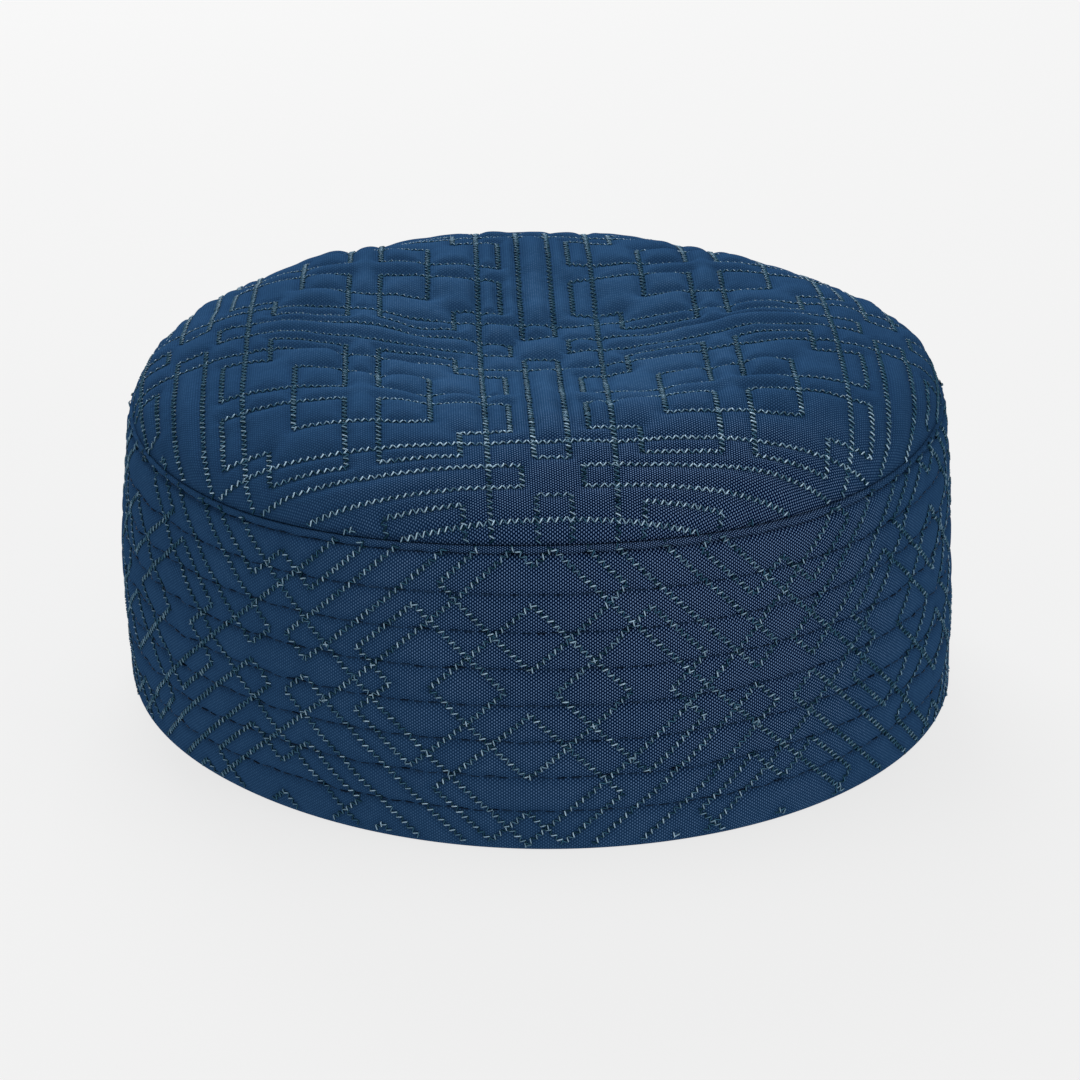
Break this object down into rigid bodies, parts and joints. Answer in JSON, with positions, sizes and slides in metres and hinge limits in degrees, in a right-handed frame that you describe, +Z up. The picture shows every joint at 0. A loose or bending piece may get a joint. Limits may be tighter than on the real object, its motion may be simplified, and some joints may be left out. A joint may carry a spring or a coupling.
{
  "type": "prayer cap",
  "caption": "Round flat-topped prayer cap of quilted navy-blue cloth: an upright ribbed band and a shallow dished crown stitched with a fret pattern, open below for the head.",
  "frame": {"origin": "middle of the rim's underside, on the surface that the cap stands on", "axes": "+Z up through the crown, -Y towards the front, +X to the right as seen from the front"},
  "size_m": [0.1908, 0.1893, 0.0837],
  "materials": {
    "band_cloth": "plain-woven navy-blue cloth with a soft satin sheen, quilted",
    "crown_cloth": "plain-woven navy-blue cloth with a soft satin sheen, quilted",
    "fret_thread": "two-tone grey-teal embroidery thread in a zigzag stitch",
    "row_thread": "dark navy sewing thread"
  },
  "bodies": {
    "root": {"band": "band_cloth", "crown": "crown_cloth"}
  },
  "joints": []
}
